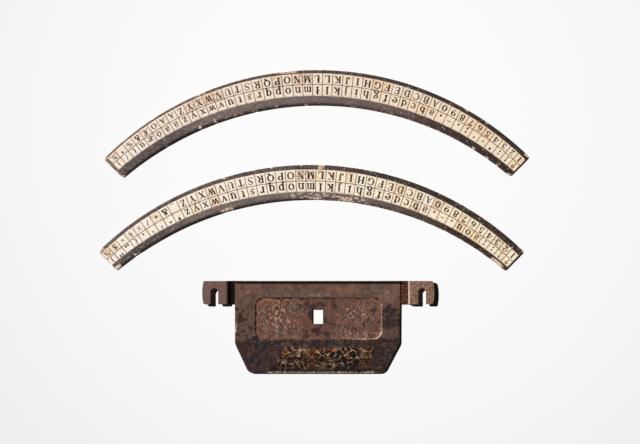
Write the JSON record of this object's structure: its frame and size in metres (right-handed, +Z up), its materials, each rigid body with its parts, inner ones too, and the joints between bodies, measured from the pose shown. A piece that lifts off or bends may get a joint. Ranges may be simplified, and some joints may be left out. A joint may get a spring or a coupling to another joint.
{
  "type": "index typewriter parts",
  "caption": "Loose parts of an index typewriter laid flat: two curved character scales on black boards, and a rusty shield plate with a type window and two open-slotted ears.",
  "frame": {"origin": "on the table, under the middle of the bounding box of the three parts as they lie", "axes": "+X along the scales' chords, from the last characters to the figures; +Y from the shield plate up to the scales; +Z up from the table"},
  "size_m": [0.2662, 0.1882, 0.0047],
  "materials": {
    "board_lacquer": "pressed board with worn black lacquer, tan where it is chipped",
    "label_paper": "aged cream printed paper with brown stains",
    "shield_steel": "black japanned sheet steel worn to brown rust, with the remains of a gilt transfer",
    "bracket_steel": "bare strip steel, grey-brown with rust",
    "rivet_steel": "flattened rivet head, rusted with the plate"
  },
  "bodies": {
    "shield": {"shield_plate": "shield_steel", "left_bracket": "bracket_steel", "right_bracket": "bracket_steel", "left_rivet": "rivet_steel", "right_rivet": "rivet_steel"},
    "upper_scale": {"upper_scale_board": "board_lacquer", "upper_scale_label": "label_paper"},
    "lower_scale": {"lower_scale_board": "board_lacquer", "lower_scale_label": "label_paper"}
  },
  "joints": [
    {"name": "upper_lift", "type": "slide", "parent": "shield", "child": "upper_scale", "axis": [0, 0, 1], "range_m": [0, 0.05]},
    {"name": "lower_lift", "type": "slide", "parent": "shield", "child": "lower_scale", "axis": [0, 0, 1], "range_m": [0, 0.05]}
  ]
}
